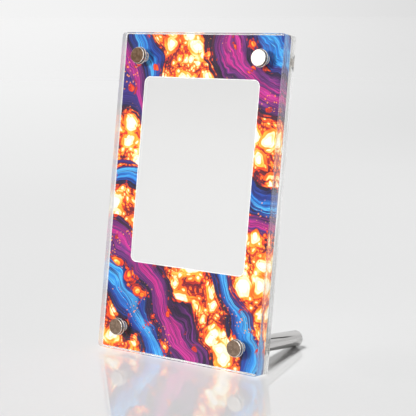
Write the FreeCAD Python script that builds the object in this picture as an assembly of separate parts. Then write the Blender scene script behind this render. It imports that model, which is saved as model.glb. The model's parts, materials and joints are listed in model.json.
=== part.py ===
import FreeCAD, Part
import math
import os

# Trading card frame, in millimetres.
# Two clear plates clamp a printed film and leave room for one card behind its window.
# Four capped screws hold the stack, and two long posts behind it make it lean back.
# It is drawn upright first: X across, Y from the front face backwards, Z up the plates.
# Then the whole stack is leant back until the posts' ends and the back plate's foot touch the floor.

# Clear plates
plate_width = 91.0
plate_height = 153.5
front_plate_thickness = 6.0
back_plate_thickness = 4.0
plate_corner_radius = 1.5
plate_edge_chamfer = 0.4

# Printed film between the plates, and the window in it
film_thickness = 0.2
ink_thickness = 0.1
film_border = 0.4
window_width = 64.0
window_height = 89.0
window_corner_radius = 2.8
window_top_border = 21.0

# Shallow recess for the card, milled in the front of the back plate
recess_clearance = 0.5
recess_depth = 0.8

# Places of the four screws, from the plates' edges
hole_inset_side = 11.8
hole_inset_end = 11.3

# Capped screws
stud_radius = 2.0
stud_hole_clearance = 0.3
stud_engagement = 3.0
head_radius = 3.9
head_thickness = 1.6
head_chamfer = 0.35

# Rings under the heads, and clear washers behind the plates
ring_radius = 4.2
ring_thickness = 0.8
ring_chamfer = 0.2
ring_bore_clearance = 0.15
rear_washer_radius = 4.4
rear_washer_thickness = 0.5

# Barrels behind the plates: long posts below, short cap nuts above
barrel_radius = 4.0
barrel_chamfer = 0.6
post_length = 45.0
nut_length = 5.5
thread_clearance = 0.05
tap_run_out = 0.8
drill_point_angle = 118.0

# Print: ripples about two centres, out beyond the plates' upper right and lower left corners
# Each ripple is its colour, the gap before it and its width, from the inside out
upper_centre_out = (12.0, 18.0)
lower_centre_out = (20.0, 18.0)
upper_ripples = (
    ("ink_blue", 24.0, 12.0),
    ("ink_magenta", 10.0, 11.0),
    ("ink_orange", 7.0, 9.0),
    ("ink_yellow", 0.0, 4.0),
    ("ink_blue", 9.0, 10.0),
    ("ink_magenta", 6.0, 8.0),
)
lower_ripples = (
    ("ink_orange", 27.0, 10.0),
    ("ink_yellow", 0.0, 5.0),
    ("ink_blue", 8.0, 11.0),
    ("ink_magenta", 7.0, 10.0),
    ("ink_orange", 8.0, 9.0),
    ("ink_blue", 8.0, 9.0),
)

# Worked out from the values above
ink_front = front_plate_thickness
film_front = ink_front + ink_thickness
back_plate_front = film_front + film_thickness
stack_back = back_plate_front + back_plate_thickness
barrel_front = stack_back + rear_washer_thickness
stud_hole_radius = stud_radius + stud_hole_clearance
tap_radius = stud_radius + thread_clearance
tap_depth = stud_engagement + tap_run_out
hole_x = plate_width / 2 - hole_inset_side
lower_hole_z = hole_inset_end
upper_hole_z = plate_height - hole_inset_end
window_middle_z = plate_height - window_top_border - window_height / 2
upper_centre = (plate_width / 2 + upper_centre_out[0], plate_height + upper_centre_out[1])
lower_centre = (-plate_width / 2 - lower_centre_out[0], -lower_centre_out[1])

# The stack leans until the lowest rims of the posts are level with the back plate's foot
post_reach = rear_washer_thickness + post_length - barrel_chamfer + plate_edge_chamfer
lean_angle = math.degrees(math.atan2(lower_hole_z - barrel_radius, post_reach))


def rounded_face(width, height, radius, middle_z, y):
    """A rectangle with round corners, upright at depth y, centred on x = 0."""
    left, right = -width / 2, width / 2
    low, high = middle_z - height / 2, middle_z + height / 2
    diagonal = radius * (1 - math.sqrt(0.5))

    def point(x, z):
        return FreeCAD.Vector(x, y, z)

    edges = [
        Part.LineSegment(point(left + radius, low), point(right - radius, low)),
        Part.Arc(point(right - radius, low), point(right - diagonal, low + diagonal), point(right, low + radius)),
        Part.LineSegment(point(right, low + radius), point(right, high - radius)),
        Part.Arc(point(right, high - radius), point(right - diagonal, high - diagonal), point(right - radius, high)),
        Part.LineSegment(point(right - radius, high), point(left + radius, high)),
        Part.Arc(point(left + radius, high), point(left + diagonal, high - diagonal), point(left, high - radius)),
        Part.LineSegment(point(left, high - radius), point(left, low + radius)),
        Part.Arc(point(left, low + radius), point(left + diagonal, low + diagonal), point(left + radius, low)),
    ]
    return Part.Face(Part.Wire([edge.toShape() for edge in edges]))


def slab(width, height, radius, middle_z, front, thickness):
    """A flat piece with round corners, from depth front backwards."""
    face = rounded_face(width, height, radius, middle_z, front)
    return face.extrude(FreeCAD.Vector(0, thickness, 0))


def round_bar(x, z, radius, front, thickness):
    """A straight round bar from depth front backwards."""
    return Part.makeCylinder(radius, thickness, FreeCAD.Vector(x, front, z), FreeCAD.Vector(0, 1, 0))


def hole_places():
    """The four screws, by name."""
    return {
        "bottom_left": (-hole_x, lower_hole_z),
        "bottom_right": (hole_x, lower_hole_z),
        "top_left": (-hole_x, upper_hole_z),
        "top_right": (hole_x, upper_hole_z),
    }


def stud_holes(front, thickness):
    """What the four screws take out of a flat piece."""
    return [round_bar(x, z, stud_hole_radius, front, thickness) for x, z in hole_places().values()]


def clear_plate(front, thickness):
    """A polished plate with its outer edges broken, and the four screw holes."""
    plate = slab(plate_width, plate_height, plate_corner_radius, plate_height / 2, front, thickness)
    rims = [edge for edge in plate.Edges if edge.BoundBox.YLength < thickness / 2]
    plate = plate.makeChamfer(plate_edge_chamfer, rims)
    return plate.cut(stud_holes(front, thickness))


def back_plate():
    """The plate behind the print, with the card's recess in its front."""
    recess = slab(
        window_width + 2 * recess_clearance,
        window_height + 2 * recess_clearance,
        window_corner_radius + recess_clearance,
        window_middle_z,
        back_plate_front,
        recess_depth,
    )
    return clear_plate(back_plate_front, back_plate_thickness).cut(recess)


def film_layer(front, thickness):
    """One layer of the film's outline, with the window and the screw holes."""
    outline = slab(
        plate_width - 2 * film_border,
        plate_height - 2 * film_border,
        plate_corner_radius - film_border,
        plate_height / 2,
        front,
        thickness,
    )
    window = slab(window_width, window_height, window_corner_radius, window_middle_z, front, thickness)
    return outline.cut([window] + stud_holes(front, thickness))


def ripples(area, centre, bands):
    """The rings of ink about one centre that fall on an area, by colour, and the outermost radius."""
    x, z = centre
    printed = {}
    radius = 0.0
    for colour, gap, width in bands:
        inner = round_bar(x, z, radius + gap, ink_front, ink_thickness)
        radius += gap + width
        ring = round_bar(x, z, radius, ink_front, ink_thickness).cut(inner)
        printed.setdefault(colour, []).extend(area.common(ring).Solids)
    return printed, radius


def ink_fields():
    """The print as fields of colour on the dark film, one compound a colour."""
    area = film_layer(ink_front, ink_thickness)
    fields, reach = ripples(area, upper_centre, upper_ripples)
    x, z = upper_centre
    rest = area.cut(round_bar(x, z, reach, ink_front, ink_thickness))
    lower, reach = ripples(rest, lower_centre, lower_ripples)
    for colour, solids in lower.items():
        fields[colour] += solids
    return {colour: Part.makeCompound(solids) for colour, solids in fields.items()}


def turned(points):
    """A turned piece about the Y axis, from its half section as radius and depth."""
    corners = [FreeCAD.Vector(radius, depth, 0) for radius, depth in points]
    section = Part.Face(Part.makePolygon(corners + corners[:1]))
    return section.revolve(FreeCAD.Vector(0, 0, 0), FreeCAD.Vector(0, 1, 0), 360)


def capped_screw():
    """A flat head with its face's edge broken, and its stud, drawn from the head's seat at depth 0."""
    stud_end = ring_thickness + barrel_front + stud_engagement
    return turned([
        (0, -head_thickness),
        (head_radius - head_chamfer, -head_thickness),
        (head_radius, head_chamfer - head_thickness),
        (head_radius, 0),
        (stud_radius, 0),
        (stud_radius, stud_end),
        (0, stud_end),
    ])


def front_ring():
    """The ring between a head and the front plate, with its front edge broken."""
    bore = stud_radius + ring_bore_clearance
    return turned([
        (bore, 0),
        (ring_radius - ring_chamfer, 0),
        (ring_radius, ring_chamfer),
        (ring_radius, ring_thickness),
        (bore, ring_thickness),
    ])


def rear_washer():
    """A thin clear washer that keeps the barrel off the back plate."""
    bore = stud_radius + ring_bore_clearance
    return turned([
        (bore, 0),
        (rear_washer_radius, 0),
        (rear_washer_radius, rear_washer_thickness),
        (bore, rear_washer_thickness),
    ])


def barrel(length):
    """A round bar, tapped at its front end and closed at its rear end."""
    drill_point = tap_radius / math.tan(math.radians(drill_point_angle / 2))
    return turned([
        (tap_radius, 0),
        (barrel_radius, 0),
        (barrel_radius, length - barrel_chamfer),
        (barrel_radius - barrel_chamfer, length),
        (0, length),
        (0, tap_depth + drill_point),
        (tap_radius, tap_depth),
    ])


def moved(shape, x, y, z):
    """A copy of a shape at its place."""
    copy = shape.copy()
    copy.translate(FreeCAD.Vector(x, y, z))
    return copy


def upright_pieces():
    """Every piece at its place in the upright stack."""
    pieces = {
        "front_plate": clear_plate(0, front_plate_thickness),
        "print_film": film_layer(film_front, film_thickness),
        "back_plate": back_plate(),
    }
    pieces.update(ink_fields())
    for place, (x, z) in hole_places().items():
        pieces["cap_screw_" + place] = moved(capped_screw(), x, -ring_thickness, z)
        pieces["front_ring_" + place] = moved(front_ring(), x, -ring_thickness, z)
        pieces["rear_washer_" + place] = moved(rear_washer(), x, stack_back, z)
        if z == lower_hole_z:
            pieces["rear_post_" + place] = moved(barrel(post_length), x, barrel_front, z)
        else:
            pieces["cap_nut_" + place] = moved(barrel(nut_length), x, barrel_front, z)
    return pieces


def stand(pieces):
    """Leans the stack back and stands it on the floor, centred on the origin."""
    foot = FreeCAD.Vector(0, stack_back, 0)
    for shape in pieces.values():
        shape.rotate(foot, FreeCAD.Vector(1, 0, 0), -lean_angle)
    box = Part.makeCompound(list(pieces.values())).optimalBoundingBox(False)
    for shape in pieces.values():
        shape.translate(FreeCAD.Vector(0, -box.Center.y, -box.ZMin))


os.makedirs("parts", exist_ok=True)
all_pieces = upright_pieces()
stand(all_pieces)
for name, shape in all_pieces.items():
    shape.exportStep("parts/" + name + ".step")
    print(name, "solids", len(shape.Solids), "valid", shape.isValid(), "volume", round(shape.Volume, 2))
whole = Part.makeCompound(list(all_pieces.values())).optimalBoundingBox(False)
print("lean", round(lean_angle, 3), "box", whole)
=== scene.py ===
import json
import math

import bpy
from mathutils import Euler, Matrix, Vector

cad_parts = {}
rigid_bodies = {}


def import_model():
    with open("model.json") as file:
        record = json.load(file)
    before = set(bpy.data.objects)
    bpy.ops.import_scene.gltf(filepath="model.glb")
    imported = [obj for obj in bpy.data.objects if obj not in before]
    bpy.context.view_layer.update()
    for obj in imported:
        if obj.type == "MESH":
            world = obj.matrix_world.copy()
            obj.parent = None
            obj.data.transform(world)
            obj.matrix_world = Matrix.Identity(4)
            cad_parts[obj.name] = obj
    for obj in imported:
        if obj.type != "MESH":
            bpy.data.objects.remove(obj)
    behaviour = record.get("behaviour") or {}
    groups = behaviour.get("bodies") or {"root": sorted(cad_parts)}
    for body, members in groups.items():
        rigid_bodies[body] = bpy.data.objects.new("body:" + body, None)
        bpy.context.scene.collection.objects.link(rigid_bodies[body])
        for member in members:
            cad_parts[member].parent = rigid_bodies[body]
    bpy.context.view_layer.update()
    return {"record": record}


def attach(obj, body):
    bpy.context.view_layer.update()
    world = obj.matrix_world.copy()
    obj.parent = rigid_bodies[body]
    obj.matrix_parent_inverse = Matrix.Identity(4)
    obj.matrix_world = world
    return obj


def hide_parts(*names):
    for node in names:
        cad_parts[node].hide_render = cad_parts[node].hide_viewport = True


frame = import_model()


# ---------------------------------------------------------------- clear plates
# Two sheets of cast acrylic, 6 mm in front and 4 mm behind, with polished faces and machined edges broken by
# 0.4 mm, drilled for the four screws. The back sheet has a shallow recess for the card in its front.
# The stack is drawn upright, depth 0 at its front face, and each finished piece is leant back into place.

# The lean comes from the left post's end: a mount of the frame, whose place in the upright stack is known
post_mount = next(m for m in frame["record"]["mounts"] if m["name"] == "post_end_bottom_left")
post_end_upright = Vector((-0.0337, 0.0558, 0.0113))
lean = Euler((math.atan2(post_mount["axis"][2], post_mount["axis"][1]), 0, 0))
lean_shift = Vector(post_mount["pos_m"]) - lean.to_matrix() @ post_end_upright
PER_MM = 0.001

# The four screws' places across and up the sheets
hole_places = {
    "bottom_left": (-0.0337, 0.0113),
    "bottom_right": (0.0337, 0.0113),
    "top_left": (-0.0337, 0.1422),
    "top_right": (0.0337, 0.1422),
}


def deselect():
    """Leaves nothing selected, out of edit mode."""
    if bpy.context.object and bpy.context.object.mode != "OBJECT":
        bpy.ops.object.mode_set(mode="OBJECT")
    bpy.ops.object.select_all(action="DESELECT")


def choose(piece):
    """Makes a piece the only one selected."""
    deselect()
    piece.select_set(True)
    bpy.context.view_layer.objects.active = piece


def lean_back(piece):
    """Leans an upright piece back with the stack and puts its place into its mesh."""
    choose(piece)
    piece.rotation_euler = lean
    piece.location = lean_shift
    bpy.ops.object.transform_apply(location=True, rotation=True, scale=True)


def rounded_outline(name, width, height, radius, middle_z):
    """An upright flat rectangle at depth 0 with its corners rounded."""
    deselect()
    bpy.ops.mesh.primitive_plane_add(size=1, rotation=(math.pi / 2, 0, 0), location=(0, 0, middle_z))
    outline = bpy.context.object
    outline.name = outline.data.name = name
    outline.scale = (width, height, 1)
    bpy.ops.object.transform_apply(location=True, rotation=True, scale=True)
    bpy.ops.object.mode_set(mode="EDIT")
    bpy.ops.mesh.select_all(action="SELECT")
    bpy.ops.mesh.bevel(offset=radius, segments=16, affect="VERTICES")
    bpy.ops.object.mode_set(mode="OBJECT")
    return outline


def thicken(piece, front, thickness):
    """Moves a flat piece to its depth and gives it its thickness backwards."""
    choose(piece)
    bpy.ops.object.mode_set(mode="EDIT")
    bpy.ops.mesh.select_all(action="SELECT")
    bpy.ops.transform.translate(value=(0, front, 0))
    bpy.ops.mesh.extrude_region_move(TRANSFORM_OT_translate={"value": (0, thickness, 0)})
    bpy.ops.mesh.select_all(action="SELECT")
    bpy.ops.mesh.normals_make_consistent(inside=False)
    bpy.ops.object.mode_set(mode="OBJECT")


def break_rims(piece, width):
    """Chamfers the front and back rims of a thick sheet."""
    choose(piece)
    broken = piece.modifiers.new("broken_rims", "BEVEL")
    broken.width = width
    broken.segments = 1
    broken.limit_method = "ANGLE"
    broken.angle_limit = math.radians(60)
    bpy.ops.object.modifier_apply(modifier=broken.name)


def cut_away(piece, cutter):
    """Cuts one piece out of another and throws the cutter away."""
    choose(piece)
    cut = piece.modifiers.new("cut", "BOOLEAN")
    cut.object = cutter
    cut.operation = "DIFFERENCE"
    cut.solver = "EXACT"
    bpy.ops.object.modifier_apply(modifier=cut.name)
    bpy.data.objects.remove(cutter)


def drill(piece, radius, front, thickness):
    """Drills the four screw holes through a flat piece."""
    for x, z in hole_places.values():
        deselect()
        bpy.ops.mesh.primitive_cylinder_add(
            vertices=64, radius=radius, depth=thickness + 0.002, rotation=(math.pi / 2, 0, 0),
            location=(x, front + thickness / 2, z))
        cut_away(piece, bpy.context.object)


# How high the middles of the sheets and of the window lie, and the radius of the screw holes
sheet_middle, window_middle = 0.07675, 0.088
hole_radius = 0.0023


def clear_sheet(name, front, thickness):
    """One acrylic sheet, upright at its depth, edges broken and drilled."""
    sheet = rounded_outline(name, 0.091, 0.1535, 0.0015, sheet_middle)
    thicken(sheet, front, thickness)
    break_rims(sheet, 0.0004)
    drill(sheet, hole_radius, front, thickness)
    return sheet


front_sheet = clear_sheet("front_sheet", 0, 0.006)
back_sheet = clear_sheet("back_sheet", 0.0063, 0.004)
recess = rounded_outline("recess_cut", 0.065, 0.09, 0.0033, window_middle)
thicken(recess, 0.0053, 0.0018)
cut_away(back_sheet, recess)


def paint(red, green, blue):
    """A colour as it looks on a screen, from 0 to 255, as the shader wants it."""
    def linear(part):
        """One part of the colour as plain light."""
        part /= 255
        return part / 12.92 if part <= 0.04045 else ((part + 0.055) / 1.055) ** 2.4
    return (linear(red), linear(green), linear(blue), 1)


def grey(value):
    """A neutral colour."""
    return (value, value, value, 1)


def put(tree, kind, inputs, **settings):
    """Adds a shader node, with its settings and what goes into its sockets."""
    node = tree.nodes.new(kind)
    for name, value in settings.items():
        setattr(node, name, value)
    for name, value in inputs.items():
        if isinstance(value, bpy.types.NodeSocket):
            tree.links.new(value, node.inputs[name])
        else:
            node.inputs[name].default_value = value
    return node


def maths(tree, operation, first, second=0.0, third=0.0):
    """One step of arithmetic."""
    values = {0: first, 1: second, 2: third}
    return put(tree, "ShaderNodeMath", values, operation=operation).outputs[0]


def between(tree, value, low, high, to_low=0.0, to_high=1.0):
    """A value spread smoothly from one range to another."""
    sockets = {"Value": value, "From Min": low, "From Max": high, "To Min": to_low, "To Max": to_high}
    return put(tree, "ShaderNodeMapRange", sockets, interpolation_type="SMOOTHSTEP").outputs["Result"]


def blend(tree, share, first, second, mode="MIX"):
    """Two colours mixed by a share."""
    node = put(tree, "ShaderNodeMix", {0: share, 6: first, 7: second}, data_type="RGBA", blend_type=mode)
    return node.outputs[2]


def fresh_material(name):
    """A new material with its node tree and its Principled shader, already at the output."""
    material = bpy.data.materials.new(name)
    material.use_nodes = True
    tree = material.node_tree
    tree.nodes.clear()
    shader = tree.nodes.new("ShaderNodeBsdfPrincipled")
    put(tree, "ShaderNodeOutputMaterial", {"Surface": shader.outputs["BSDF"]})
    return material, tree, shader


def link_finish(tree, shader, colour, roughness):
    """Links a material's colour and its roughness."""
    tree.links.new(colour, shader.inputs["Base Color"])
    tree.links.new(roughness, shader.inputs["Roughness"])


def upright_place(tree):
    """The place on a piece in upright millimetres: x across, y backwards from the front, z up the sheet."""
    place = tree.nodes.new("ShaderNodeTexCoord").outputs["Object"]
    turn_back = lean.to_matrix().inverted()
    settings = {
        "Vector": place,
        "Location": -(turn_back @ lean_shift) / PER_MM,
        "Rotation": Euler((-lean.x, 0, 0)),
        "Scale": (1 / PER_MM, 1 / PER_MM, 1 / PER_MM),
    }
    return put(tree, "ShaderNodeMapping", settings).outputs["Vector"]


def let_light_through(tree, shader, from_inside=0.0):
    """Lets lamplight through a clear piece on to what is behind it, and ends long chases between its faces.
    A share of what is seen from inside can pass straight out, as through a machined edge."""
    rays = tree.nodes.new("ShaderNodeLightPath").outputs
    share = maths(tree, "MAXIMUM", rays["Is Shadow Ray"], maths(tree, "GREATER_THAN", rays["Ray Depth"], 2.5))
    if from_inside:
        inside = tree.nodes.new("ShaderNodeNewGeometry").outputs["Backfacing"]
        share = maths(tree, "MAXIMUM", share, maths(tree, "MULTIPLY", inside, from_inside))
    clear = put(tree, "ShaderNodeBsdfTransparent", {"Color": (0.99, 0.993, 0.993, 1)}).outputs["BSDF"]
    both = put(tree, "ShaderNodeMixShader", {0: share, 1: shader.outputs["BSDF"], 2: clear})
    tree.links.new(both.outputs["Shader"], tree.nodes["Material Output"].inputs["Surface"])


acrylic_ior = 1.49
acrylic, tree, shader = fresh_material("clear_cast_acrylic")
wiping = put(tree, "ShaderNodeTexNoise", {"Vector": upright_place(tree), "Scale": 0.05, "Detail": 3.0}).outputs["Fac"]
link_finish(tree, shader, blend(tree, wiping, (1, 1, 1, 1), (0.99, 0.995, 0.995, 1)),
            between(tree, wiping, 0.45, 0.7, 0.0, 0.012))
shader.inputs["Transmission Weight"].default_value = 1.0
shader.inputs["IOR"].default_value = acrylic_ior
let_light_through(tree, shader)

# The edges are machined: cutter marks run along them, so they change fast through the depth and hardly at
# all along the sheet, and the cut face scatters a little of the light
cut_edge, tree, shader = fresh_material("machined_acrylic_edge")
along_edge = put(tree, "ShaderNodeMapping", {"Vector": upright_place(tree), "Scale": (0.02, 1.4, 0.02)})
marks = put(tree, "ShaderNodeTexNoise", {
    "Vector": along_edge.outputs["Vector"], "Scale": 1.0, "Detail": 5.0, "Roughness": 0.6}).outputs["Fac"]
link_finish(tree, shader, blend(tree, between(tree, marks, 0.42, 0.58), (0.5, 0.49, 0.47, 1), (1, 1, 1, 1)),
            between(tree, marks, 0.35, 0.65, 0.02, 0.07))
cut_bump = put(tree, "ShaderNodeBump", {"Height": marks, "Strength": 0.4, "Distance": 0.0002})
tree.links.new(cut_bump.outputs["Normal"], shader.inputs["Normal"])
shader.inputs["Transmission Weight"].default_value = 0.78
shader.inputs["IOR"].default_value = acrylic_ior
let_light_through(tree, shader, 0.6)

# The broad faces are polished and all the others machined
for sheet, node in ((front_sheet, "front_plate"), (back_sheet, "back_plate")):
    sheet.data.materials.append(acrylic)
    sheet.data.materials.append(cut_edge)
    for face in sheet.data.polygons:
        face.material_index = 0 if abs(face.normal.y) > 0.9 else 1
    choose(sheet)
    bpy.ops.object.shade_smooth_by_angle(angle=math.radians(30))
    lean_back(sheet)
    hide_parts(node)
    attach(sheet, "root")


# --------------------------------------------------------------------- the print
# A sheet of white film bonded behind the front plate, cut to the plates' outline with the card's window
# and the four screw holes, and the ink printed on it. The ink stops a hair short of every cut edge, so
# the white film shows as a fine line round the window.
def punched_sheet(name, front, thickness, margin, outer_margin):
    """The film's outline with its window and screw holes, held back from its cut edges by margins."""
    width, height, corner = 0.0902, 0.1527, 0.0011
    window_width, window_height, window_corner = 0.064, 0.089, 0.0028
    sheet = rounded_outline(
        name, width - 2 * outer_margin, height - 2 * outer_margin, corner - outer_margin, sheet_middle)
    thicken(sheet, front, thickness)
    window = rounded_outline(
        "window_cut", window_width + 2 * margin, window_height + 2 * margin, window_corner + margin, window_middle)
    thicken(window, front - 0.001, thickness + 0.002)
    cut_away(sheet, window)
    drill(sheet, hole_radius + margin, front, thickness)
    lean_back(sheet)
    return sheet


film_sheet = punched_sheet("film_sheet", 0.00598, 0.00029, 0, 0)
printed_ink = punched_sheet("printed_ink", 0.00596, 0.00002, 0.00032, 0.0001)

film, tree, shader = fresh_material("white_backed_film")
pulp = put(tree, "ShaderNodeTexNoise", {"Vector": upright_place(tree), "Scale": 3.0, "Detail": 4.0}).outputs["Fac"]
link_finish(tree, shader, blend(tree, pulp, paint(250, 249, 246), paint(238, 238, 236)),
            between(tree, pulp, 0.3, 0.7, 0.42, 0.55))
film_sheet.data.materials.append(film)

# Poured colours: silky ripples of blue, violet and magenta run round two centres out beyond the plates' upper
# right and lower left corners. Hot paint lies between them in cells, pale at their cores and red at their rims.
print_ink, tree, shader = fresh_material("poured_colours")
apart = put(tree, "ShaderNodeSeparateXYZ", {"Vector": upright_place(tree)})
flat = put(tree, "ShaderNodeCombineXYZ", {"X": apart.outputs["X"], "Y": apart.outputs["Z"]}).outputs["Vector"]


def noise(vector, scale, detail=3.0, roughness=0.5, output="Fac"):
    """Plain noise over the print."""
    sockets = {"Vector": vector, "Scale": scale, "Detail": detail, "Roughness": roughness}
    return put(tree, "ShaderNodeTexNoise", sockets, noise_dimensions="2D").outputs[output]


def pushed(vector, scale, amount, detail=2.0):
    """Places pushed about by noise, by up to half an amount in millimetres."""
    push = put(tree, "ShaderNodeVectorMath",
               {0: noise(vector, scale, detail, output="Color"), 1: (0.5, 0.5, 0.5)}, operation="SUBTRACT")
    sized = put(tree, "ShaderNodeVectorMath", {0: push.outputs["Vector"], "Scale": amount}, operation="SCALE")
    return put(tree, "ShaderNodeVectorMath", {0: vector, 1: sized.outputs["Vector"]}, operation="ADD").outputs["Vector"]


def colour_bands(value, bands, interpolation="EASE"):
    """A colour ramp from a list of places and colours."""
    ramp = put(tree, "ShaderNodeValToRGB", {"Fac": value})
    ramp.color_ramp.interpolation = interpolation
    elements = ramp.color_ramp.elements
    elements[0].position, elements[0].color = bands[0]
    elements[1].position, elements[1].color = bands[-1]
    for position, colour in bands[1:-1]:
        elements.new(position).color = colour
    return ramp.outputs["Color"]


poured = pushed(pushed(flat, 0.022, 26.0), 0.09, 5.0)


def round_centre(x, z):
    """How far the poured paint is from a centre, and its angle about it."""
    away = put(tree, "ShaderNodeVectorMath", {0: poured, 1: (x, z, 0)}, operation="SUBTRACT").outputs["Vector"]
    distance = put(tree, "ShaderNodeVectorMath", {0: away}, operation="LENGTH").outputs["Value"]
    parts = put(tree, "ShaderNodeSeparateXYZ", {"Vector": away})
    return distance, maths(tree, "ARCTAN2", parts.outputs["Y"], parts.outputs["X"])


def silk(distance, angle, fineness, stretch):
    """Streaks that run along the ripples."""
    along = put(tree, "ShaderNodeCombineXYZ", {
        "X": maths(tree, "MULTIPLY", distance, fineness),
        "Y": maths(tree, "MULTIPLY", angle, stretch),
    })
    return noise(along.outputs["Vector"], 1.0, 4.0, 0.6)


night = paint(14, 12, 44)
indigo = paint(44, 34, 112)
deep_blue = paint(14, 52, 140)
bright_blue = paint(16, 118, 205)
ice_blue = paint(70, 175, 235)
plum = paint(92, 28, 104)
magenta = paint(190, 30, 130)
wine = paint(96, 12, 34)

# Each list gives a distance from its centre in millimetres, up to the farthest, and the paint or warmth there
farthest = 140
upper_paint = (
    (0, night), (22, night), (25, deep_blue), (29, bright_blue), (31, ice_blue), (33, bright_blue), (37, indigo),
    (41, night), (45, plum), (49, magenta), (54, plum), (58, night), (62, wine), (80, wine), (84, night),
    (88, deep_blue), (92, bright_blue), (94, ice_blue), (96, deep_blue), (100, night), (103, plum),
    (107, magenta), (110, indigo), (120, night), (140, night),
)
lower_paint = (
    (0, night), (20, wine), (42, wine), (47, night), (51, deep_blue), (55, bright_blue), (57, ice_blue),
    (60, deep_blue), (64, night), (68, plum), (73, magenta), (77, plum), (81, night), (84, wine), (96, wine),
    (100, night), (103, deep_blue), (106, bright_blue), (108, ice_blue), (111, indigo), (115, wine), (127, wine),
    (132, night), (140, indigo),
)
upper_warmth = (
    (0, 0.1), (34, 0.15), (42, 0.55), (50, 0.1), (58, 0.3), (64, 1), (80, 1), (86, 0.3), (96, 0.1), (108, 0.5),
    (140, 1),
)
lower_warmth = (
    (0, 1), (42, 1), (49, 0.25), (56, 0.1), (63, 0.65), (70, 0.2), (80, 0.35), (85, 1), (96, 1), (102, 0.3),
    (110, 0.2), (116, 1), (128, 1), (134, 0.5), (140, 0.2),
)


def ripples(centre, paints, warmth):
    """The paint of one family of ripples, its streaks, how warm it is and how far out it is."""
    distance, angle = round_centre(*centre)
    strands = silk(distance, angle, 0.55, 2.2)
    feather = maths(tree, "MULTIPLY_ADD", strands, 16.0, -8.0)
    reach = maths(tree, "DIVIDE", maths(tree, "ADD", distance, feather), farthest)
    colour = colour_bands(reach, [(at / farthest, tone) for at, tone in paints])
    warm = colour_bands(reach, [(at / farthest, grey(value)) for at, value in warmth])
    return colour, silk(distance, angle, 2.4, 3.0), warm, distance


upper = ripples((57.5, 171.5), upper_paint, upper_warmth)
lower = ripples((-65.5, -18.0), lower_paint, lower_warmth)
outside = between(tree, upper[3], 108.0, 113.0)
colour = blend(tree, outside, upper[0], lower[0])
strands = blend(tree, outside, upper[1], lower[1])
warm = blend(tree, outside, upper[2], lower[2])

# Fine strands lighten and darken the silky paint
lighter = blend(tree, 1.0, colour, colour, "SCREEN")
darker = blend(tree, 1.0, colour, (0.22, 0.2, 0.34, 1), "MULTIPLY")
colour = blend(tree, between(tree, strands, 0.48, 0.72, 0.0, 0.85), colour, lighter)
colour = blend(tree, between(tree, strands, 0.5, 0.3, 0.0, 0.85), colour, darker)

# Hot cells: round drops of three sizes float among one another, ringed from a pale core to a red rim
cell_place = pushed(pushed(flat, 0.06, 9.0), 0.35, 1.2)


def drops(fineness, depth, sunk=0.0):
    """Round drops: highest at their cores, falling evenly to their rims."""
    cells = put(tree, "ShaderNodeTexVoronoi", {"Vector": cell_place, "Scale": fineness, "Randomness": 0.9},
                voronoi_dimensions="2D", feature="F1")
    return maths(tree, "MULTIPLY_ADD", cells.outputs["Distance"], -depth, 0.4 * depth - sunk)


big, middling, small = drops(0.085, 1.1), drops(0.2, 0.8, 0.06), drops(0.5, 0.6, 0.1)
heat = maths(tree, "MAXIMUM", maths(tree, "MAXIMUM", big, middling), small)
fine_rings = maths(tree, "SINE", maths(tree, "MULTIPLY", heat, 42.0))
heat = maths(tree, "MULTIPLY_ADD", fine_rings, 0.05, heat)
heat = maths(tree, "ADD", heat, maths(tree, "MULTIPLY_ADD", noise(poured, 0.1, 2.0), 0.5, -0.38))
heat = maths(tree, "ADD", heat, maths(tree, "MULTIPLY", warm, 0.68))
crimson = paint(158, 20, 26)
red = paint(232, 54, 14)
orange = paint(255, 118, 12)
amber = paint(255, 186, 52)
cream = paint(255, 240, 178)
white_hot = paint(255, 253, 240)
hot = colour_bands(heat, (
    (0.0, crimson), (0.42, crimson), (0.5, red), (0.58, orange), (0.66, amber), (0.74, cream), (0.86, white_hot),
    (1.0, white_hot)), "LINEAR")
colour = blend(tree, between(tree, heat, 0.37, 0.43), colour, hot)

# Flecks of paint lie over the dark ground
flecks = put(tree, "ShaderNodeTexVoronoi", {"Vector": pushed(flat, 0.8, 1.2), "Scale": 0.42},
             voronoi_dimensions="2D", feature="F1")
fleck_size = maths(tree, "MULTIPLY", between(tree, noise(poured, 0.06, 3.0), 0.5, 0.7), 0.14)
fleck = maths(tree, "LESS_THAN", flecks.outputs["Distance"], fleck_size)
colour = blend(tree, fleck, colour, blend(tree, noise(flat, 0.3), orange, amber))

link_finish(tree, shader, colour, between(tree, strands, 0.3, 0.7, 0.5, 0.38))
printed_ink.data.materials.append(print_ink)

for piece, nodes, slot in (
    (film_sheet, ("print_film",), "film"),
    (printed_ink, ("ink_blue", "ink_magenta", "ink_orange", "ink_yellow"), "orange_ink"),
):
    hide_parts(*nodes)
    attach(piece, "root")


# ----------------------------------------------------------------- capped screws
# Four screws clamp the stack: a flat polished stainless head with its rim rounded and a neck turned above its
# seat, on an M4 stud that runs through the plates into the barrel behind. Each is turned from bar.
MERGE_BELOW = 0.000002


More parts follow.
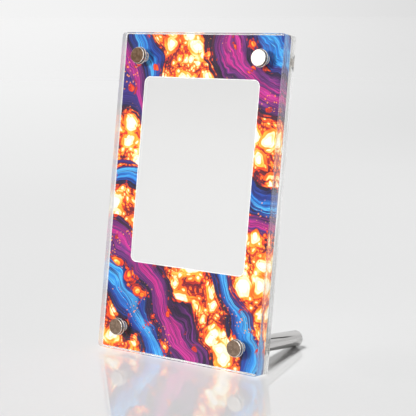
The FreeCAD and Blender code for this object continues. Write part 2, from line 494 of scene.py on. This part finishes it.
def turned(name, half_section, steps=96):
    """Spins a half section, given as radius and depth in millimetres, about the Y axis into a turned piece."""
    deselect()
    bpy.ops.mesh.primitive_plane_add(size=0.001)
    piece = bpy.context.object
    piece.name = piece.data.name = name
    bpy.ops.object.mode_set(mode="EDIT")
    bpy.ops.mesh.select_all(action="SELECT")
    bpy.ops.mesh.merge(type="CENTER")
    here = (0.0, 0.0)
    for step, (radius, depth) in enumerate(half_section):
        move = ((radius - here[0]) * PER_MM, (depth - here[1]) * PER_MM, 0)
        if step == 0:
            bpy.ops.transform.translate(value=move)
        else:
            bpy.ops.mesh.extrude_region_move(TRANSFORM_OT_translate={"value": move})
        here = (radius, depth)
    bpy.ops.mesh.select_all(action="SELECT")
    bpy.ops.mesh.spin(steps=steps, angle=2 * math.pi, center=(0, 0, 0), axis=(0, 1, 0))
    bpy.ops.mesh.select_all(action="SELECT")
    bpy.ops.mesh.remove_doubles(threshold=MERGE_BELOW)
    bpy.ops.mesh.normals_make_consistent(inside=False)
    bpy.ops.object.mode_set(mode="OBJECT")
    return piece


def round_over(piece, width, segments=2):
    """Breaks a turned piece's sharp corners by a hair and shades it smooth."""
    choose(piece)
    broken = piece.modifiers.new("broken_corners", "BEVEL")
    broken.width = width * PER_MM
    broken.segments = segments
    broken.limit_method = "ANGLE"
    broken.angle_limit = math.radians(25)
    bpy.ops.object.modifier_apply(modifier=broken.name)
    bpy.ops.object.shade_smooth_by_angle(angle=math.radians(32))


def remember_place(piece):
    """Keeps each point's place about the piece's own axis, for marks that follow the turning."""
    own = piece.data.attributes.new("own_place", "FLOAT_VECTOR", "POINT")
    for point, vertex in zip(own.data, piece.data.vertices):
        point.vector = vertex.co / PER_MM


def fit_at_holes(pattern, name, node, places=tuple(hole_places)):
    """Fits a copy of a turned piece at each screw's place, leant back, and removes the first."""
    for place_name in places:
        x, z = hole_places[place_name]
        piece = pattern.copy()
        piece.data = pattern.data.copy()
        piece.name = piece.data.name = name + "_" + place_name
        bpy.context.collection.objects.link(piece)
        choose(piece)
        piece.location = (x, 0, z)
        bpy.ops.object.transform_apply(location=True, rotation=True, scale=True)
        lean_back(piece)
        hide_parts(node + "_" + place_name)
        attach(piece, "root")
    bpy.data.objects.remove(pattern)


turning_marks = bpy.data.node_groups.new("turning_marks", "ShaderNodeTree")
turning_marks.interface.new_socket(name="Place", in_out="INPUT", socket_type="NodeSocketVector")
turning_marks.interface.new_socket(name="Fineness", in_out="INPUT", socket_type="NodeSocketFloat")
for result in ("Rings", "Patches", "Radius"):
    turning_marks.interface.new_socket(name=result, in_out="OUTPUT", socket_type="NodeSocketFloat")
group_in = turning_marks.nodes.new("NodeGroupInput")
group_out = turning_marks.nodes.new("NodeGroupOutput")
own_parts = put(turning_marks, "ShaderNodeSeparateXYZ", {"Vector": group_in.outputs["Place"]})
across = maths(turning_marks, "MULTIPLY", own_parts.outputs["X"], own_parts.outputs["X"])
upwards = maths(turning_marks, "MULTIPLY", own_parts.outputs["Z"], own_parts.outputs["Z"])
own_radius = maths(turning_marks, "SQRT", maths(turning_marks, "ADD", across, upwards))
ring_place = put(turning_marks, "ShaderNodeCombineXYZ", {
    "X": maths(turning_marks, "MULTIPLY", own_radius, group_in.outputs["Fineness"]),
    "Y": maths(turning_marks, "MULTIPLY", own_parts.outputs["Y"], group_in.outputs["Fineness"]),
})
rings = put(turning_marks, "ShaderNodeTexNoise",
            {"Vector": ring_place.outputs["Vector"], "Scale": 1.0, "Detail": 4.0}, noise_dimensions="2D")
patches = put(turning_marks, "ShaderNodeTexNoise", {"Vector": group_in.outputs["Place"], "Scale": 0.6, "Detail": 3.0})
turning_marks.links.new(rings.outputs["Fac"], group_out.inputs["Rings"])
turning_marks.links.new(patches.outputs["Fac"], group_out.inputs["Patches"])
turning_marks.links.new(own_radius, group_out.inputs["Radius"])


def own_place(tree):
    """The piece's own place, kept before it was fitted."""
    return put(tree, "ShaderNodeAttribute", {}, attribute_name="own_place").outputs["Vector"]


# Steel smeared from brown to pale, with a band of painted dark reflection round the rim of the heads
polished, tree, shader = fresh_material("polished_stainless_turned")
marks = put(tree, "ShaderNodeGroup", {"Place": own_place(tree), "Fineness": 9.0}, node_tree=turning_marks).outputs
smears = between(tree, marks["Patches"], 0.36, 0.64)
steel = blend(tree, smears, (0.62, 0.55, 0.48, 1), (0.82, 0.77, 0.71, 1))
# Painted dark reflection: a brown band on the side and rim of each head, darker than the steel, so that they look as if
# they mirror a dark room
painted_rim_reflection = maths(tree, "MULTIPLY",
            between(tree, marks["Radius"], 3.84, 3.9), between(tree, marks["Radius"], 3.97, 3.93))
link_finish(tree, shader, blend(tree, painted_rim_reflection, steel, (0.27, 0.215, 0.17, 1)),
            between(tree, marks["Rings"], 0.3, 0.7, 0.03, 0.08))
cut = put(tree, "ShaderNodeBump", {"Height": marks["Rings"], "Strength": 0.05, "Distance": 0.00004})
tree.links.new(cut.outputs["Normal"], shader.inputs["Normal"])
shader.inputs["Metallic"].default_value = 1.0

# The head is 7.8 mm across, with a neck turned under it and its seat 0.8 mm in front of the plate. A ring of
# points near the rim of its face keeps the face flat in smooth shading.
head = turned("head", (
    (0, -2.3), (3.5, -2.3), (3.62, -2.3), (3.78, -2.25), (3.9, -2.08), (3.9, -1.25), (3.62, -1.15), (3.62, -0.8),
    (1.6, -0.8), (1.6, -0.2), (0, -0.2)))
round_over(head, 0.03)

# The thread is swept from one pitch of its form, run past both ends of the stud and trimmed by a plain bar
thread_pitch = 0.7
thread_root = 1.66
thread_form = ((0.28, 0.27), (0.0, 0.1), (-0.28, 0.27), (0.0, 0.06))
deselect()
bpy.ops.mesh.primitive_plane_add(size=0.001)
thread = bpy.context.object
thread.name = thread.data.name = "thread"
bpy.ops.object.mode_set(mode="EDIT")
bpy.ops.mesh.select_all(action="SELECT")
bpy.ops.mesh.merge(type="CENTER")
bpy.ops.transform.translate(value=(thread_root * PER_MM, -0.0016, 0))
for radius_step, depth_step in thread_form:
    step = (radius_step * PER_MM, depth_step * PER_MM, 0)
    bpy.ops.mesh.extrude_region_move(TRANSFORM_OT_translate={"value": step})
bpy.ops.object.mode_set(mode="OBJECT")
sweep = thread.modifiers.new("sweep", "SCREW")
sweep.axis = "Y"
sweep.angle = 2 * math.pi
sweep.screw_offset = thread_pitch * PER_MM
sweep.iterations = 24
sweep.steps = sweep.render_steps = 28
sweep.use_merge_vertices = True
sweep.merge_threshold = MERGE_BELOW
bpy.ops.object.modifier_apply(modifier=sweep.name)
bpy.ops.object.mode_set(mode="EDIT")
bpy.ops.mesh.select_all(action="SELECT")
bpy.ops.mesh.remove_doubles(threshold=MERGE_BELOW)
bpy.ops.mesh.select_all(action="SELECT")
bpy.ops.mesh.fill_holes(sides=0)
bpy.ops.mesh.select_all(action="SELECT")
bpy.ops.mesh.normals_make_consistent(inside=False)
bpy.ops.object.mode_set(mode="OBJECT")
blank = turned("stud_blank", ((0, -0.6), (2.0, -0.6), (2.0, 13.4), (1.6, 13.8), (0, 13.8)), 48)
choose(blank)
trim = blank.modifiers.new("trim", "BOOLEAN")
trim.object = thread
trim.operation = "INTERSECT"
trim.solver = "EXACT"
bpy.ops.object.modifier_apply(modifier=trim.name)
bpy.data.objects.remove(thread)
bpy.ops.object.shade_smooth_by_angle(angle=math.radians(30))

choose(blank)
head.select_set(True)
bpy.context.view_layer.objects.active = head
bpy.ops.object.join()
remember_place(head)
head.data.materials.append(polished)
fit_at_holes(head, "screw", "cap_screw")


# ------------------------------------------------------------------- front rings
# A stainless ring under each head spreads its load on the plate: 8.4 mm across, turned, with a broken front
# edge. It lies flat on the plate's face.
ring = turned("ring", (
    (2.15, -0.8), (4.0, -0.8), (4.2, -0.6), (4.2, 0), (2.15, 0), (2.15, -0.8)))
round_over(ring, 0.03)
remember_place(ring)
ring.data.materials.append(polished)
fit_at_holes(ring, "ring", "front_ring")


# ------------------------------------------------------------------ rear washers
# A thin clear washer of soft plastic keeps each barrel off the back plate. It is stamped from sheet, so its
# outer corners are slightly rolled.
soft_clear, tree, shader = fresh_material("soft_clear_plastic")
mottle = put(tree, "ShaderNodeTexNoise", {"Vector": own_place(tree), "Scale": 1.2, "Detail": 3.0}).outputs["Fac"]
link_finish(tree, shader, blend(tree, mottle, (0.93, 0.95, 0.96, 1), (0.86, 0.88, 0.9, 1)),
            between(tree, mottle, 0.3, 0.7, 0.28, 0.42))
shader.inputs["Transmission Weight"].default_value = 1.0
shader.inputs["IOR"].default_value = 1.42
let_light_through(tree, shader)
washer = turned("washer", (
    (2.15, 10.3), (4.4, 10.3), (4.4, 10.8), (2.15, 10.8), (2.15, 10.3)))
round_over(washer, 0.12, 3)
remember_place(washer)
washer.data.materials.append(soft_clear)
fit_at_holes(washer, "washer", "rear_washer")


# ----------------------------------------------------------- posts and cap nuts
# Round stainless bar, 8 mm across, tapped at its front end and closed behind. The two below are 45 mm long
# and prop the frame up; the two above are short nuts. Drawn bar keeps faint streaks along its length.
drawn, tree, shader = fresh_material("drawn_stainless_bar")
own_xyz = put(tree, "ShaderNodeSeparateXYZ", {"Vector": own_place(tree)})
around = maths(tree, "ARCTAN2", own_xyz.outputs["Z"], own_xyz.outputs["X"])
# Streaks read the angle round the bar as a point on a circle, so they meet where the circle closes
streak_place = put(tree, "ShaderNodeCombineXYZ", {
    "X": maths(tree, "MULTIPLY", maths(tree, "COSINE", around), 26.0),
    "Y": maths(tree, "MULTIPLY", own_xyz.outputs["Y"], 0.05),
    "Z": maths(tree, "MULTIPLY", maths(tree, "SINE", around), 26.0),
})
streaks = put(tree, "ShaderNodeTexNoise", {
    "Vector": streak_place.outputs["Vector"], "Scale": 1.0, "Detail": 4.0}).outputs["Fac"]
link_finish(tree, shader, blend(tree, streaks, (0.56, 0.55, 0.54, 1), (0.68, 0.67, 0.66, 1)),
            between(tree, streaks, 0.3, 0.7, 0.06, 0.13))
drawn_marks = put(tree, "ShaderNodeBump", {"Height": streaks, "Strength": 0.08, "Distance": 0.00004})
tree.links.new(drawn_marks.outputs["Normal"], shader.inputs["Normal"])
shader.inputs["Metallic"].default_value = 1.0


def barrel(name, length):
    """A tapped bar with a drilled bore, a lightly broken front edge and a chamfered closed end."""
    front = 10.8
    return turned(name, (
        (2.05, front), (3.88, front), (4.0, front + 0.12), (4.0, front + length - 0.6),
        (3.4, front + length), (0, front + length), (0, front + 5.03), (2.05, front + 3.8), (2.05, front)))


for bar_name, node, length, places in (
    ("post", "rear_post", 45.0, ("bottom_left", "bottom_right")),
    ("nut", "cap_nut", 5.5, ("top_left", "top_right")),
):
    bar = barrel(bar_name, length)
    round_over(bar, 0.08)
    remember_place(bar)
    bar.data.materials.append(drawn)
    fit_at_holes(bar, bar_name, node, places)


# ------------------------------------------------------------- floor and studio
# A pale glossy board that mirrors the foot of the frame, in a pale room under plain soft light. Light from above
# falls on the board, where only the bars cast a shadow, and the other lamps light only the frame.
deselect()
bpy.ops.mesh.primitive_plane_add(size=100, location=(0, -30, 0))
bpy.ops.object.transform_apply(location=True, rotation=True, scale=True)
floor = bpy.context.object
floor.name = floor.data.name = "studio_floor"
board, tree, shader = fresh_material("pale_gloss_board")
board_place = tree.nodes.new("ShaderNodeTexCoord").outputs["Object"]
board_grain = put(tree, "ShaderNodeTexNoise", {"Vector": board_place, "Scale": 400.0, "Detail": 1.0}).outputs["Fac"]
board_colour = blend(tree, board_grain, grey(0.86), grey(0.88))
# The board is brighter through the clear plates, which take away more light than real ones do
through_glass = tree.nodes.new("ShaderNodeLightPath").outputs["Is Transmission Ray"]
tree.links.new(blend(tree, through_glass, board_colour, grey(0.95)), shader.inputs["Base Color"])
tree.links.new(blend(tree, through_glass, grey(0), grey(0.06)), shader.inputs["Emission Color"])
shader.inputs["Emission Strength"].default_value = 1.0
shader.inputs["Roughness"].default_value = 0.0
shader.inputs["IOR"].default_value = 2.3
floor.data.materials.append(board)

world = bpy.data.worlds.new("pale_room")
bpy.context.scene.world = world
world.use_nodes = True
tree = world.node_tree
tree.nodes.clear()
direction = tree.nodes.new("ShaderNodeTexCoord").outputs["Generated"]
towards = put(tree, "ShaderNodeSeparateXYZ", {"Vector": direction})
side = maths(tree, "ARCTAN2", towards.outputs["X"], maths(tree, "MULTIPLY", towards.outputs["Y"], -1.0))
height = maths(tree, "ARCSINE", towards.outputs["Z"])


def patch(left, right, low, high, soft):
    """A soft-edged patch of the room, from its left, right, low and high limits in degrees as the frame sees it."""
    def within(angle, start, end):
        """Whether an angle lies between two limits."""
        start, end, edge = math.radians(start), math.radians(end), math.radians(soft)
        return maths(tree, "MULTIPLY",
                     between(tree, angle, start - edge, start + edge), between(tree, angle, end + edge, end - edge))
    return maths(tree, "MULTIPLY", within(side, left, right), within(height, low, high))


# The backdrop is brightest behind the frame on its left
glow_side = math.radians(-125)
glow_middle = (math.sin(glow_side), -math.cos(glow_side), 0)
towards_glow = put(tree, "ShaderNodeVectorMath", {0: direction, 1: glow_middle}, operation="DOT_PRODUCT")
glow = between(tree, towards_glow.outputs["Value"], math.cos(math.radians(36)), 1.0)
backdrop = blend(tree, glow, grey(0.71), grey(0.91))
backdrop = blend(tree, between(tree, height, math.radians(5), math.radians(10)), backdrop, grey(0.84))

# Mirrors show the room brown on the left, bright high on the right, and with a dark strip that lines the bars
rays = tree.nodes.new("ShaderNodeLightPath").outputs
glossy_room = blend(tree, patch(-75, -20, -10, 30, 5), backdrop, (0.27, 0.18, 0.125, 1))
glossy_room = blend(tree, patch(10, 95, 30, 80, 8), glossy_room, grey(1.3))
glossy_room = blend(tree, patch(161.5, 170, 10, 40, 1.5), glossy_room, grey(0.08))
room = blend(tree, rays["Is Glossy Ray"], backdrop, glossy_room)
room = blend(tree, rays["Is Transmission Ray"], room, grey(0.89))
room = blend(tree, rays["Is Diffuse Ray"], room, grey(0.09))
background = put(tree, "ShaderNodeBackground", {"Color": room, "Strength": 1.0})
put(tree, "ShaderNodeOutputWorld", {"Surface": background.outputs["Background"]})

# The middle of the frame's box, which lamps and camera are placed about
middle = Vector((0, -0.00798, 0.07494))


def seen_from(azimuth, elevation, distance):
    """A point round the frame's middle; azimuth 0 is straight in front."""
    azimuth, elevation = math.radians(azimuth), math.radians(elevation)
    flat_distance = distance * math.cos(elevation)
    return middle + Vector((
        flat_distance * math.sin(azimuth), -flat_distance * math.cos(azimuth), distance * math.sin(elevation)))


def aim(thing, target):
    """Points a lamp or camera at a place."""
    thing.rotation_euler = (target - thing.location).to_track_quat("-Z", "Y").to_euler()


def lamp(name, kind, place, strength, **settings):
    """A soft lamp aimed at the frame's middle, that mirrors and clear plates don't show."""
    data = bpy.data.lights.new(name, kind)
    data.energy = strength
    for setting, value in settings.items():
        setattr(data, setting, value)
    fixed = bpy.data.objects.new(name, data)
    bpy.context.collection.objects.link(fixed)
    fixed.location = place
    aim(fixed, middle)
    fixed.visible_glossy = False
    fixed.visible_transmission = False
    return fixed


def group(name, pieces):
    """A collection that light is linked to."""
    gathered = bpy.data.collections.new(name)
    for piece in pieces:
        gathered.objects.link(piece)
    return gathered


frame_pieces = group("frame_pieces", [piece for piece in bpy.data.objects if piece.type == "MESH" and piece != floor])
bars = group("bars", [piece for piece in frame_pieces.objects if piece.name.startswith(("post_", "nut_"))])
screws = group("screws", [piece for piece in frame_pieces.objects if piece.name.startswith("screw_")])
for light in (
    lamp("side_light", "SUN", seen_from(-90, 74, 2.0), 1.75, angle=math.radians(30)),
    lamp("key_lamp", "AREA", seen_from(-15, 16.5, 1.4), 16.0, shape="DISK", size=0.13),
    lamp("fill_lamp", "AREA", seen_from(125, 25, 1.6), 14.0, shape="DISK", size=0.9),
):
    light.light_linking.receiver_collection = frame_pieces

# Two far white cards in front: a wide one shines on the rims of the caps, and a small one, which only the screws
# show, fills the face of the upper right cap
for name, place, wide, tall, strength, lit in (
    ("rim_card", (-17.5, 16.0), 15.0, 20.0, 1800.0, frame_pieces),
    ("cap_card", (-32.18, 13.34), 2.0, 2.0, 38.0, screws),
):
    card = lamp(name, "AREA", seen_from(*place, 40.0), strength, shape="RECTANGLE", size=wide, size_y=tall)
    card.visible_glossy = True
    card.visible_camera = card.visible_diffuse = False
    card.light_linking.receiver_collection = lit

overhead = lamp("overhead_light", "SUN", seen_from(-70, 68, 2.0), 2.55, angle=math.radians(18))
overhead.light_linking.receiver_collection = group("stage", [floor])
overhead.light_linking.blocker_collection = bars


# ---------------------------------------------------------------------- camera
# The photograph's viewing angle, fitted to the plates' corners, the window, the caps and the post. It looks at
# the frame's middle and is then shifted sideways and down in its own plane.
camera_data = bpy.data.cameras.new("camera")
camera_data.sensor_width = 36.0
camera_data.lens = 99.54
camera = bpy.data.objects.new("camera", camera_data)
bpy.context.collection.objects.link(camera)
view_side, view_height, view_distance, view_roll = 33.76, 9.81, 0.54257, -0.35
view_shift = Vector((0.00549, -0.00364, 0))
camera.location = seen_from(view_side, view_height, view_distance)
aim(camera, middle)
camera.rotation_euler.rotate_axis("Z", math.radians(view_roll))
camera.location += camera.rotation_euler.to_matrix() @ view_shift
bpy.context.scene.camera = camera
bpy.context.scene.view_settings.view_transform = "Standard"
